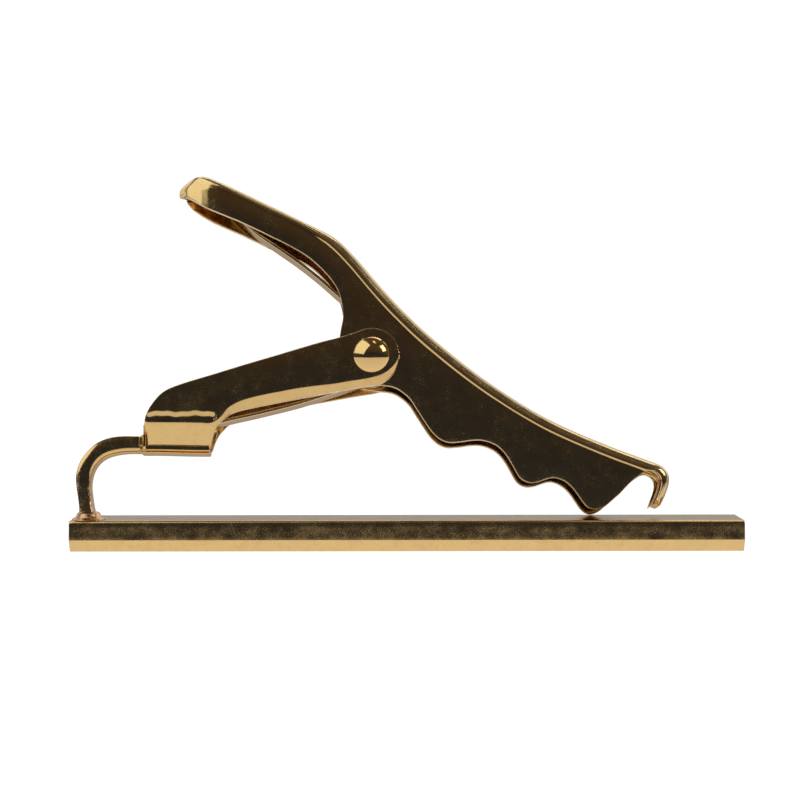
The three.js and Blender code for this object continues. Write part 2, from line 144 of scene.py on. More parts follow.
# where the walls of the arm start to lean in
ARM_KNEE = [
    (-20.90, -5.94), (-19.00, -5.96), (-17.00, -5.98), (-15.20, -6.02), (-14.45, -6.05), (-13.95, -5.86), (-13.51, -5.49),
    (-13.07, -4.92), (-12.63, -4.55), (-11.74, -4.10), (-10.85, -3.82), (-9.96, -3.60), (-8.18, -3.25),
    (-6.39, -2.93), (-4.60, -2.70), (-3.27, -2.55), (-1.93, -2.32), (-0.14, -2.03), (1.00, -1.66), (1.70, -1.12),
    (2.20, -0.50), (2.70, 0.30),
]
TANG_OUTER = [
    (-20.45, -7.02), (-20.90, -7.04), (-21.80, -7.02), (-22.60, -7.03), (-23.50, -7.16), (-24.30, -7.43), (-24.85, -7.76),
    (-25.31, -8.17), (-25.76, -8.66), (-26.13, -9.22), (-26.34, -9.75), (-26.47, -10.35), (-26.50, -11.03),
    (-26.40, -11.84), (-26.26, -12.74), (-26.16, -13.46), (-26.13, -14.40),
]
TANG_INNER = [
    (-20.20, -8.50), (-20.90, -8.50), (-21.87, -8.50), (-22.77, -8.60), (-23.62, -8.82), (-24.12, -9.09), (-24.56, -9.50),
    (-24.91, -10.08), (-25.12, -10.80), (-25.17, -11.55), (-25.09, -12.22), (-24.97, -13.04), (-24.86, -13.58),
    (-24.72, -14.34),
]
SPRING_UPPER = [
    (-14.30, 15.42), (-13.75, 14.98), (-13.10, 14.16), (-11.90, 12.86), (-10.20, 11.42), (-8.26, 10.05), (-6.44, 8.74),
    (-4.63, 7.27), (-3.00, 5.80), (-1.10, 4.16), (0.45, 2.72),
]
SPRING_LOWER = [
    (-0.66, -2.28), (-3.00, -3.02), (-6.50, -4.12), (-10.00, -5.00), (-13.40, -5.78), (-15.20, -6.36), (-16.80, -7.10),
    (-18.00, -7.72), (-18.70, -7.86),
]


# ---------------------------------------------------------------- curves
class Curve:
    """A smooth curve through points, read by its length."""

    def __init__(self, points, smooth=0.0, step=0.02):
        p = np.asarray(points, float)
        t = np.concatenate([[0], np.cumsum(np.linalg.norm(np.diff(p, axis=0), axis=1))])
        m = np.empty_like(p)
        m[1:-1] = (p[2:] - p[:-2]) / (t[2:] - t[:-2])[:, None]
        m[0], m[-1] = (p[1] - p[0]) / (t[1] - t[0]), (p[-1] - p[-2]) / (t[-1] - t[-2])
        n = max(8, int(t[-1] / step))
        u = np.linspace(0, t[-1], n)
        i = np.clip(np.searchsorted(t, u, "right") - 1, 0, len(p) - 2)
        h = (t[i + 1] - t[i])[:, None]
        x = ((u - t[i]) / h[:, 0])[:, None]
        q = ((2 * x**3 - 3 * x**2 + 1) * p[i] + (x**3 - 2 * x**2 + x) * h * m[i]
             + (-2 * x**3 + 3 * x**2) * p[i + 1] + (x**3 - x**2) * h * m[i + 1])
        if smooth > 0:
            k = int(smooth / step * 3)
            w = np.exp(-0.5 * (np.arange(-k, k + 1) * step / smooth) ** 2)
            w /= w.sum()
            pad = np.concatenate([2 * q[0] - q[k:0:-1], q, 2 * q[-1] - q[-2:-k - 2:-1]])
            q = np.stack([np.convolve(pad[:, c], w, "valid") for c in range(q.shape[1])], 1)
        self.q = q
        self.s = np.concatenate([[0], np.cumsum(np.linalg.norm(np.diff(q, axis=0), axis=1))])
        self.length = self.s[-1]

    def at(self, s):
        return np.stack([np.interp(s, self.s, self.q[:, c]) for c in range(self.q.shape[1])], -1)

    def tangent(self, s, d=0.03):
        v = self.at(np.clip(np.asarray(s) + d, 0, self.length)) - self.at(np.clip(np.asarray(s) - d, 0, self.length))
        return v / np.linalg.norm(v, axis=-1, keepdims=True)

    def near(self, point):
        return self.s[np.argmin(((self.q - np.asarray(point)) ** 2).sum(1))]


def smoothstep(a, b, x):
    t = np.clip((np.asarray(x, float) - a) / (b - a), 0, 1)
    return t * t * (3 - 2 * t)


def matched(a, b, pairs, rows):
    """Row stations along curve a and curve b, even over both lengths."""
    sa = np.array([a.near(p) for p, _ in pairs])
    sb = np.array([b.near(q) for _, q in pairs])
    sa[0], sb[0] = 0, 0
    fine = np.linspace(0, a.length, 4000)
    other = np.interp(fine, sa, sb)
    k = np.ones(161) / 161
    pad = np.concatenate([np.full(80, other[0]), other, np.full(80, other[-1])])
    ramp = np.convolve(pad, k, "valid")
    w = smoothstep(0, 1.0, fine) * smoothstep(0, 1.0, a.length - fine)
    other = other * (1 - w) + ramp * w
    measure = fine + np.maximum.accumulate(other)
    s = np.interp(np.linspace(measure[0], measure[-1], rows), measure, fine)
    return s, np.interp(s, fine, other)


# ---------------------------------------------------------------- sheet-metal solids
ARC = np.radians([0, 22, 45, 68, 90, 112, 135, 158, 180])


def boxy(a, k=0.5):
    c, s = np.cos(a), np.sin(a)
    return np.sign(c) * np.abs(c) ** k, np.abs(s) ** k


def ring_points(outer, inner, e0, e1, rho, hc, rc):
    mid, h = (outer + inner) / 2, (outer - inner) / 2
    rows = [mid + h * hc]
    c, s = boxy(ARC[1:-1])
    rim1 = [mid[-1] + h[-1] * hc * ci + e1 * rho * rc * si for ci, si in zip(c, s)]
    rim0 = [mid[0] + h[0] * hc * ci + e0 * rho * rc * si for ci, si in zip(c[::-1], s[::-1])]
    return np.concatenate([rows[0], np.array(rim1), (mid - h * hc)[::-1], np.array(rim0)])


def sheet_solid(name, outer, inner, e0, e1, d0, d1, rho=0.09, merge=1e-4, tags=None):
    """A closed sheet from its outer and inner grids (rows, columns, 3), with rounded cut edges.
    e0 and e1 point outward at the first and last column of each row; d0 and d1 at the first and last row. Millimetres."""
    rows = outer.shape[0]
    rings = []
    caps = np.radians([90, 80, 66, 45, 22])
    for b in caps:
        c, s = boxy(b)
        rings.append(ring_points(outer[0], inner[0], e0[0], e1[0], rho, c if b < 1.57 else 0.0, c if b < 1.57 else 0.0) + d0 * rho * s)
    for r in range(rows):
        rings.append(ring_points(outer[r], inner[r], e0[r], e1[r], rho, 1.0, 1.0))
    for b in caps[::-1]:
        c, s = boxy(b)
        rings.append(ring_points(outer[-1], inner[-1], e0[-1], e1[-1], rho, c if b < 1.57 else 0.0, c if b < 1.57 else 0.0) + d1 * rho * s)
    rings = np.array(rings)
    n, m = rings.shape[:2]
    faces = []
    for i in range(n - 1):
        for j in range(m):
            k = (j + 1) % m
            faces.append((i * m + j, i * m + k, (i + 1) * m + k, (i + 1) * m + j))
    cols, rim, cap = outer.shape[1], len(ARC) - 2, len(caps)
    edge = np.ones((n, m))
    edge[cap:n - cap, :cols] = 0
    edge[cap:n - cap, cols + rim:2 * cols + rim] = 0
    edge[cap:n - cap, [0, cols - 1, cols + rim, 2 * cols + rim - 1]] = 0.3
    values = {"edge": edge}
    for key, grid in (tags or {}).items():
        full = np.zeros((n, m))
        full[:, :cols] = grid[np.clip(np.arange(n) - cap, 0, rows - 1)]
        values[key] = full
    return make_object(name, rings.reshape(-1, 3), faces, merge, values)


def make_object(name, verts, faces, merge=None, values=None):
    me = bpy.data.meshes.new(name)
    me.from_pydata([tuple(v) for v in verts], [], faces)
    for key, v in (values or {}).items():
        me.attributes.new(key, "FLOAT", "POINT").data.foreach_set("value", np.asarray(v, np.float32).ravel())
    bm = bmesh.new()
    bm.from_mesh(me)
    if merge:
        bmesh.ops.remove_doubles(bm, verts=bm.verts, dist=merge)
        bmesh.ops.dissolve_degenerate(bm, dist=merge / 4, edges=bm.edges)
    bmesh.ops.recalc_face_normals(bm, faces=bm.faces)
    bm.to_mesh(me)
    bm.free()
    if volume(me) < 0:
        me.flip_normals()
    me.update()
    ob = bpy.data.objects.new(name, me)
    bpy.context.scene.collection.objects.link(ob)
    return ob


def volume(me):
    bm = bmesh.new()
    bm.from_mesh(me)
    v = bm.calc_volume(signed=True)
    bm.free()
    return v


def open_edges(me):
    bm = bmesh.new()
    bm.from_mesh(me)
    n = sum(1 for e in bm.edges if not e.is_manifold)
    bm.free()
    return n


def boolean(ob, other, operation):
    mod = ob.modifiers.new("join", "BOOLEAN")
    mod.operation, mod.solver, mod.object = operation, "EXACT", other
    dg = bpy.context.evaluated_depsgraph_get()
    me = bpy.data.meshes.new_from_object(ob.evaluated_get(dg))
    ob.modifiers.clear()
    old, ob.data = ob.data, me
    bpy.data.meshes.remove(old)
    bpy.data.objects.remove(other)
    return ob


def cylinder_y(radius, y0, y1, n=96):
    a = np.linspace(0, 2 * math.pi, n, endpoint=False)
    ring = np.stack([radius * np.cos(a), np.zeros(n), radius * np.sin(a)], 1)
    v = np.concatenate([ring + [0, y0, 0], ring + [0, y1, 0]])
    f = [(i, (i + 1) % n, n + (i + 1) % n, n + i) for i in range(n)] + [tuple(range(n)), tuple(range(2 * n - 1, n - 1, -1))]
    return make_object("cutter", v, f)


def revolve(name, profile, n=128):
    """profile is (radius, y) from axis to axis; turned about the clip's y axis."""
    a = np.linspace(0, 2 * math.pi, n, endpoint=False)
    p = np.asarray(profile, float)
    v = np.stack([np.outer(p[:, 0], np.cos(a)), np.repeat(p[:, 1:2], n, 1), np.outer(p[:, 0], np.sin(a))], -1)
    faces = []
    for i in range(len(p) - 1):
        for j in range(n):
            k = (j + 1) % n
            faces.append((i * n + j, i * n + k, (i + 1) * n + k, (i + 1) * n + j))
    return make_object(name, v.reshape(-1, 3), faces, 1e-5)


def settle(ob, sharp=38, place=world):
    """Millimetres to the row frame, smooth with sharp edges kept."""
    me = ob.data
    co = np.empty(len(me.vertices) * 3)
    me.vertices.foreach_get("co", co)
    me.vertices.foreach_set("co", place(co.reshape(-1, 3)).astype(np.float32).ravel())
    me.shade_smooth()
    me.set_sharp_from_angle(angle=math.radians(sharp))
    me.update()
    print("PIECE", ob.name, "faces", len(me.polygons), "open edges", open_edges(me), "volume mm3", round(volume(me) * 1e9, 3))
    return ob


# ---------------------------------------------------------------- jaw lever
def bow(x, z, shift=0.0):
    """Share of the full width left near the thumb end, which narrows like the bow of a boat."""
    end = np.interp(z, [15.10, 15.50, 15.90, 16.30, 16.60], [-17.53, -17.54, -17.38, -17.05, -16.85])
    width = np.interp(np.linspace(0, 6, 241), [0, 0.4, 0.75, 1.0, 1.4, 2.0, 2.8, 3.6, 4.6, 5.5], [0.30, 0.84, 1.27, 1.43, 1.60, 1.79, 1.97, 2.09, 2.17, 2.2])
    width = np.convolve(np.pad(width, 4, mode="edge"), np.ones(9) / 9, "valid") / 2.2
    return np.interp(x - end - shift, np.linspace(0, 6, 241), width)


def build_lever():
    back = Curve(LEVER_BACK, smooth=0.10)
    edge = Curve(LEVER_EDGE, smooth=0.05)
    sb, se = matched(back, edge, LEVER_PAIRS, 470)
    rho = 0.12
    sb[0] += rho
    sb[-1] -= rho
    B = back.at(sb)
    tan = back.tangent(sb, 0.10)
    Np = np.stack([tan[:, 1], -tan[:, 0]], 1)          # into the lever
    E = edge.at(se)
    x = B[:, 0]
    radius = 0.56 + (0.92 - 0.56) * smoothstep(-6.5, -2.2, x)
    radius -= 0.14 * smoothstep(back.near((24.6, -9.4)), back.near((26.6, -10.72)), sb)
    # the side flanges open slightly round the lip
    turn = np.radians(90 - 20 * smoothstep(back.near((24.8, -9.47)), back.near((26.6, -10.72)), sb))
    # a fine raised line where the back rolls over into each wall
    ridge = (0.075 - 0.028 * smoothstep(5.0, 14.0, x)) * smoothstep(-6.5, -3.0, x) * (1 - smoothstep(back.near((25.0, -9.55)), back.near((26.2, -10.1)), sb)) + 0.012
    drop = 0.33 * (1 - smoothstep(-8.5, -4.0, x)) * smoothstep(-17.5, -16.2, E[:, 0]) * (sb < back.near((0, 7.5)))
    drop += 0.05 * np.exp(-((E[:, 0] - 19.9) / 1.1) ** 2)
    nW, nA, nF = 30, 14, 7
    rows = len(sb)
    sides = []
    for side in (0, 1):
        outer_rows, inner_rows, e_rows = [], [], []
        back_rows, across_rows = [], []
        for r in range(rows):
            R, phi, a_r = radius[r], turn[r], ridge[r]
            b, n2 = B[r], Np[r]
            T = b + n2 * R * (1 - math.cos(phi))
            to = E[r] - T
            L = np.linalg.norm(to)
            D = to / max(L, 1e-9)
            if D @ n2 < 0.2:
                D = n2
            if side:
                L += drop[r]
            L = max((L - SHEET * math.cos(phi)) / math.sin(phi) - rho, 0.04)
            full = HALF_LEVER
            left = back.length - sb[r]
            if left < 0.5:
                full -= 0.35 * (1 - math.sqrt(max(0.0, 1 - (1 - left / 0.5) ** 2)))
            f = full - R * math.sin(phi) - L * math.cos(phi)
            pts, nor, bk, ac = [], [], [], []
            for u in np.linspace(1, 0, nW) ** 2:
                s_ = L * u
                q = T + D * math.sin(phi) * s_
                swell = 0.035 * 4 * u * (1 - u) * min(1.0, L / 2.5)
                y = f + R * math.sin(phi) + math.cos(phi) * s_ + a_r * (1 - smoothstep(0, 0.26, s_)) + swell
                pts.append((q[0], -y, q[1]))
                nor.append((-n2[0] * math.cos(phi), -math.sin(phi), -n2[1] * math.cos(phi)))
                bk.append(0.0); ac.append(f + R * phi + s_)
            for a in np.linspace(phi, 0, nA + 2)[1:-1]:
                q = b + n2 * R * (1 - math.cos(a))
                pts.append((q[0], -(f + (R + a_r) * math.sin(a)), q[1]))
                nor.append((-n2[0] * math.cos(a), -math.sin(a), -n2[1] * math.cos(a)))
                bk.append(1.0); ac.append(f + R * a)
            for y in np.linspace(f, 0, nF):
                pts.append((b[0], -y, b[1]))
                nor.append((-n2[0], 0, -n2[1]))
                bk.append(1.0); ac.append(y)
            pts, nor = np.array(pts), np.array(nor)
            outer_rows.append(pts)
            inner_rows.append(pts - nor * SHEET)
            back_rows.append(bk)
            across_rows.append(ac)
            e_rows.append((D[0] * math.sin(phi), -math.cos(phi), D[1] * math.sin(phi)))
        sides.append((np.array(outer_rows), np.array(inner_rows), np.array(e_rows), np.array(back_rows), np.array(across_rows)))
    mirror = np.array([1, -1, 1])
    O = np.concatenate([sides[0][0], (sides[1][0] * mirror)[:, -2::-1]], 1)
    I = np.concatenate([sides[0][1], (sides[1][1] * mirror)[:, -2::-1]], 1)
    O[..., 1] *= bow(O[..., 0], O[..., 2])
    I[..., 1] *= bow(I[..., 0], I[..., 2], 0.42)
    d0 = np.array([-tan[0, 0], 0, -tan[0, 1]])
    d1 = np.array([tan[-1, 0], 0, tan[-1, 1]])
    rolled = smoothstep(-17.2, -15.0, x)[:, None]
    tags = {"back": np.concatenate([sides[0][3], sides[1][3][:, -2::-1]], 1) * rolled,
            "across": np.concatenate([sides[0][4], -sides[1][4][:, -2::-1]], 1)}
    ob = sheet_solid("lever_body", O, I, sides[0][2], sides[1][2] * mirror, d0, d1, rho, tags=tags)
    boolean(ob, cylinder_y(1.03, -4, 4), "DIFFERENCE")
    return settle(ob)


# ---------------------------------------------------------------- arm
def build_arm():
    top, bottom = Curve(ARM_TOP, smooth=0.06), Curve(ARM_BOTTOM, smooth=0.06)
    st, sbm = matched(top, bottom, ARM_PAIRS, 260)
    rho = 0.11
    A, C = top.at(st), bottom.at(sbm)
    D = C - A
    L = np.linalg.norm(D, axis=1, keepdims=True)
    D = D / L
    A, C = A + D * rho, C - D * rho
    cols = 64
    u = np.linspace(0, 1, cols)
    P = A[:, None, :] * (1 - u)[None, :, None] + C[:, None, :] * u[None, :, None]
    knee = Curve(ARM_KNEE, smooth=0.08, step=0.05)
    flat = P.reshape(-1, 2)
    d2 = np.empty(len(flat))
    side = np.empty(len(flat))
    kt = knee.tangent(knee.s)
    for i in range(0, len(flat), 2000):
        c = flat[i:i + 2000]
        diff = c[:, None, :] - knee.q[None]
        dist = (diff**2).sum(2)
        j = dist.argmin(1)
        v = diff[np.arange(len(c)), j]
        side[i:i + 2000] = -(kt[j, 0] * v[:, 1] - kt[j, 1] * v[:, 0])
        d2[i:i + 2000] = np.sqrt(dist[np.arange(len(c)), j])
    d = np.where(side > 0, d2, -d2)
    X, Z = flat[:, 0], flat[:, 1]
    # lean: chamfered ear edge, folded trough wall
    folded = 1 - smoothstep(-14.3, -12.9, X)
    lean = np.radians(23) + np.radians(9.5) * folded
    bend = 0.5
    dd = np.clip(d, 0, None)
    start = bend * np.sin(lean)
    g = np.where(dd < start, bend - np.sqrt(np.maximum(bend**2 - np.minimum(dd, start) ** 2, 0)), bend * (1 - np.cos(lean)) + (dd - start) * np.tan(lean))
    # step of the trough wall
    trough = (1 - smoothstep(-14.15, -13.75, X)) * smoothstep(-20.35, -19.75, X)
    step = 0.135 * smoothstep(0, 1, (-4.98 - Z - 0.05 * np.sin(X * 2.1) - 0.03 * np.sin(X * 5.3)) / 0.62)
    # lower corner into the floor of the trough
    corner = (0.42 * np.clip((-8.12 - Z) / 0.42, 0, 1) ** 2) * (1 - smoothstep(-14.2, -13.9, X))
    # the left margin curls in towards the neck
    curl = 0.55 * np.clip((-19.92 - X) / 0.42, 0, 1) ** 2.2 * smoothstep(-4.6, -7.0, Z)
    outer_in = g + step * trough + corner + curl
    inner_in = (g * folded) + step * trough + corner + curl
    shape = (len(st), cols)
    swell = 0.03 * 4 * (u * (1 - u))[None, :] * smoothstep(-14.5, -12.5, P[..., 0])
    near = -HALF_ARM + outer_in.reshape(shape) - swell
    inner = -HALF_ARM + SHEET + inner_in.reshape(shape) * 1.0
    inner = np.maximum(inner, near + 0.11)
    O = np.stack([P[..., 0], near, P[..., 1]], -1)
    I = np.stack([P[..., 0], inner, P[..., 1]], -1)
    e0 = np.stack([-D[:, 0], np.zeros(len(D)), -D[:, 1]], 1)
    e1 = np.stack([D[:, 0], np.zeros(len(D)), D[:, 1]], 1)
    wall = sheet_solid("arm_wall", O, I, e0, e1, np.array([-1.0, 0, 0]), np.array([1.0, 0, 0]), rho)
    m = np.array([1, -1, 1])
    wall2 = sheet_solid("arm_wall_far", O * m, I * m, e0 * m, e1 * m, np.array([-1.0, 0, 0]), np.array([1.0, 0, 0]), rho)

    # floor of the trough
    xs = np.concatenate([np.linspace(-20.60, -14.62, 50)])
    ys = np.linspace(-1.50, 1.50, 25)
    bottomz = -8.60 - 0.10 * smoothstep(-20, -15, xs)
    sag = 0.20 * np.clip((np.abs(ys) - 1.12) / 0.38, 0, 1) ** 2
    Of = np.stack(np.broadcast_arrays(xs[:, None], ys[None], bottomz[:, None] + sag[None]), -1)
    If = Of + np.array([0, 0, SHEET])
    n = len(xs)
    floor = sheet_solid("arm_floor", Of, If, np.tile([0, -1.0, 0], (n, 1)), np.tile([0, 1.0, 0], (n, 1)), np.array([-1.0, 0, 0]), np.array([1.0, 0, 0]), 0.08)

    # neck and foot: a shallow channel that flares out to the end of the trough
    inner_c, outer_c = Curve(TANG_INNER, smooth=0.12), Curve(TANG_OUTER, smooth=0.12)
    rows = 150
    si = np.linspace(0, inner_c.length, rows)
    Q = inner_c.at(si)
    T = inner_c.tangent(si, 0.2)
    U = np.stack([T[:, 1], -T[:, 0]], 1)
    U[U @ np.array([-0.5, 0.9]) < 0] *= -1
    # depth to the outer side along the normal
    depth = np.array([np.min([((outer_c.q - (q + u * t)) ** 2).sum(1).min() + 1e-9 * t for t in (1.0,)]) for q, u in zip(Q, U)])
    depth = []
    for q, u in zip(Q, U):
        v = outer_c.q - q
        along, off = v @ u, np.abs(v[:, 0] * u[1] - v[:, 1] * u[0])
        ok = along > 0.4
        depth.append(along[ok][off[ok].argmin()])
    depth = np.array(depth)
    k = np.ones(9) / 9
    depth = np.convolve(np.concatenate([np.full(4, depth[0]), depth, np.full(4, depth[-1])]), k, "valid")
    flare = 1 - smoothstep(0, 1, (Q[:, 0] * -1 - 20.30) / 0.62)
    flare[si > 2] = 0
    half = HALF_TANG + 1.35 * flare**1.6 + 0.10 * smoothstep(-12.6, -14.3, Q[:, 1])
    r_b = 0.42
    on, inn, e = [], [], []
    for r in range(rows):
        w, h, q, u = half[r], depth[r], Q[r], U[r]
        pts, nor = [], []
        for t in np.linspace(h - rho, r_b, 16):
            p = q + u * t
            k_ = min(1.0, max(0.0, (t - (h - 0.55)) / 0.55))
            roll = (0.055 + 0.13 * math.exp(-((si[r] - 4.9) / 0.9) ** 2) + 0.05 * math.exp(-((si[r] - 6.6) / 0.35) ** 2)) * k_ * k_ * float(smoothstep(0.9, 1.6, si[r]))
            pts.append((p[0], -w + roll, p[1])); nor.append((0, -1.0, 0))
        for a in np.linspace(math.pi / 2, 0, 9)[1:]:
            p = q + u * r_b * (1 - math.cos(a))
            pts.append((p[0], -(w - r_b + r_b * math.sin(a)), p[1]))
            nor.append((-u[0] * math.cos(a), -math.sin(a), -u[1] * math.cos(a)))
        for y in np.linspace(w - r_b, 0, 7)[1:]:
            pts.append((q[0], -y, q[1])); nor.append((-u[0], 0, -u[1]))
        pts, nor = np.array(pts), np.array(nor)
        on.append(pts); inn.append(pts - nor * 0.40)
        e.append((u[0], 0, u[1]))
    on, inn, e = np.array(on), np.array(inn), np.array(e)
    on = np.concatenate([on, (on * m)[:, -2::-1]], 1)
    inn = np.concatenate([inn, (inn * m)[:, -2::-1]], 1)
    d0 = np.array([-T[0, 0], 0, -T[0, 1]])
    d1 = np.array([T[-1, 0], 0, T[-1, 1]])
    neck = sheet_solid("arm_neck", on, inn, e, e * m, d0, d1, 0.08)
    boolean(wall, floor, "UNION")
    boolean(wall, wall2, "UNION")
    boolean(wall, neck, "UNION")
    boolean(wall, cylinder_y(1.03, -4, 4), "DIFFERENCE")
    wall.name = "arm_body"
    return settle(wall, 32)


# ---------------------------------------------------------------- rivet
def build_rivet():
    R, H, seat = 1.6, 0.78, HALF_ARM + 0.03
    sphere = (R * R + (H - 0.1) ** 2) / (2 * (H - 0.1))
    top = math.asin(min(1.0, R / sphere))
    p = [(0, -(seat + H))]
    for i in range(1, 25):
        a = top * i / 24
        p.append((sphere * math.sin(a), -(seat + H) + sphere * (1 - math.cos(a))))
    r_edge, y_edge = p[-1]
    for a in np.radians([20, 45, 70, 90]):
        p.append((r_edge - 0.05 + 0.05 * math.cos(a) + 0.0, -(seat + 0.05) + 0.05 * math.sin(a)))
    p += [(0.97, -seat), (0.95, -(seat - 0.04)), (0.95, 0), (0.95, seat - 0.04), (0.97, seat), (1.44, seat)]
    for a in np.radians([0, 30, 60, 90]):
        p.append((1.44 + 0.06 * math.sin(a), seat + 0.06 * (1 - math.cos(a))))
    for i in range(1, 13):
        a = math.radians(90 * i / 12)
        p.append((1.5 * math.cos(a) ** 0.75 if i < 12 else 0.0, seat + 0.12 + 0.38 * math.sin(a)))
    return settle(revolve("rivet_body", p), 40)


# ---------------------------------------------------------------- spring
def build_spring():
    loop = [(2.3 * math.cos(a), 2.3 * math.sin(a)) for a in np.radians(np.linspace(44, -98, 13))]
    line = Curve(SPRING_UPPER + loop + SPRING_LOWER, smooth=0.12)
    rho = 0.05
    s = np.linspace(rho, line.length - rho, 300)
    q, t = line.at(s), line.tangent(s, 0.08)
    n = np.stack([-t[:, 1], t[:, 0]], 1)
    ys = np.linspace(-1.2 + rho, 1.2 - rho, 15)
    O = np.stack(np.broadcast_arrays((q + n * 0.15)[:, None, 0], ys[None], (q + n * 0.15)[:, None, 1]), -1)
    I = np.stack(np.broadcast_arrays((q - n * 0.15)[:, None, 0], ys[None], (q - n * 0.15)[:, None, 1]), -1)
    k = len(s)
    ob = sheet_solid("spring_strip", O, I, np.tile([0, -1.0, 0], (k, 1)), np.tile([0, 1.0, 0], (k, 1)),
                     np.array([-t[0, 0], 0, -t[0, 1]]), np.array([t[-1, 0], 0, t[-1, 1]]), rho)
    return settle(ob, 45)


# ---------------------------------------------------------------- bar
def build_bar():
    corner = [
        (-(HALF_BAR - BEVEL_DEPTH), 0, 0.10), (HALF_BAR - BEVEL_DEPTH, 0, 0.10), (HALF_BAR, BEVEL_HEIGHT, 0.10),
        (HALF_BACK, BAR_HEIGHT, 0.30), (-HALF_BACK, BAR_HEIGHT, 0.30), (-HALF_BAR, BEVEL_HEIGHT, 0.10),
    ]
    pts = []
    k = len(corner)
    for i, (y, z, r) in enumerate(corner):
        a = np.array(corner[i - 1][:2]) - (y, z)
        b = np.array(corner[(i + 1) % k][:2]) - (y, z)
        a, b = a / np.linalg.norm(a), b / np.linalg.norm(b)
        half = math.acos(np.clip(a @ b, -1, 1)) / 2
        back = r / math.tan(half)
        c = np.array((y, z)) + (a + b) / np.linalg.norm(a + b) * r / math.sin(half)
        p0, p1 = np.array((y, z)) + a * back, np.array((y, z)) + b * back
        v0, v1 = p0 - c, p1 - c
        w = math.acos(np.clip(v0 @ v1 / r / r, -1, 1))
        for t in np.linspace(0, 1, 7):
            pts.append(c + (v0 * math.sin((1 - t) * w) + v1 * math.sin(t * w)) / math.sin(w))
    pts = np.array(pts)
    # extra points along the flats
    full = []
    for i in range(len(pts)):
        a, b = pts[i], pts[(i + 1) % len(pts)]
        n = max(1, int(np.linalg.norm(b - a) / 0.35))
        for t in range(n):
            full.append(a + (b - a) * t / n)
    full = np.array(full)
    centre = np.array([0, 1.3])
    ends = [(-BAR_LENGTH / 2 + 0.10 * (1 - math.cos(a)), 0.10 * (1 - math.sin(a))) for a in np.radians([0, 25, 50, 70, 90])]
    mids = [(x, 0.0) for x in np.linspace(-BAR_LENGTH / 2 + 0.4, BAR_LENGTH / 2 - 0.4, 150)]
    stations = ends + mids + [(-x, i) for x, i in ends[::-1]]
    rings = []
    for x, i in stations:
        d = full - centre
        shrink = 1 - i / np.linalg.norm(d, axis=1, keepdims=True)
        ring = centre + d * shrink
        rings.append(np.column_stack([np.full(len(ring), x), ring]))
    rings = np.array(rings)
    n, m = rings.shape[:2]
    v = rings.reshape(-1, 3)
    faces = [(i * m + j, i * m + (j + 1) % m, (i + 1) * m + (j + 1) % m, (i + 1) * m + j) for i in range(n - 1) for j in range(m)]
    faces += [tuple(range(m)), tuple(range(n * m - 1, (n - 1) * m - 1, -1))]
    return settle(make_object("bar_body", v, faces), 20, lambda p: p * MM)


# ---------------------------------------------------------------- solder
def build_solder():
    foot = world([(-25.40, 0, -14.2)])[0] / MM
    prof = [(0.0, 0.0), (1.30, 0.0), (1.56, 0.0), (1.62, 0.02), (1.60, 0.06), (1.50, 0.11), (1.38, 0.16), (1.28, 0.23),
            (1.20, 0.32), (1.15, 0.42), (1.11, 0.52), (1.06, 0.60), (0.98, 0.64), (0.85, 0.66), (0.0, 0.66)]
    n = 144
    a = np.linspace(0, 2 * math.pi, n, endpoint=False)
    rng = np.random.default_rng(7)
    ph = rng.uniform(0, 6.28, 12)
    wob = sum(0.022 / (1 + 0.35 * k) * np.cos(k * a + ph[k]) for k in range(2, 12))
    v = []
    for i, (r, z) in enumerate(prof):
        f = 1 + wob * min(1.0, 2.2 * (1 - z / 0.75)) * (1 if r > 0.5 else 0)
        v.append(np.stack([r * f * 0.92 * np.cos(a), r * f * 1.12 * np.sin(a), np.full(n, z + (0.012 * np.sin(5 * a + i) if 0 < z < 0.6 else 0))], 1))
    v = np.array(v)
    faces = [(i * n + j, i * n + (j + 1) % n, (i + 1) * n + (j + 1) % n, (i + 1) * n + j) for i in range(len(prof) - 1) for j in range(n)]
    ob = make_object("solder_fillet", v.reshape(-1, 3) + [foot[0], foot[1], BAR_HEIGHT + 0.005], faces, 1e-5)
    return settle(ob, 50, lambda p: p * MM)


# ---------------------------------------------------------------- materials
def node(nt, kind, **values):
    n = nt.nodes.new(kind)
    for key, v in values.items():
        if key.startswith("_"):
            n.inputs[int(key[1:])].default_value = v
        else:
            setattr(n, key, v)
    return n


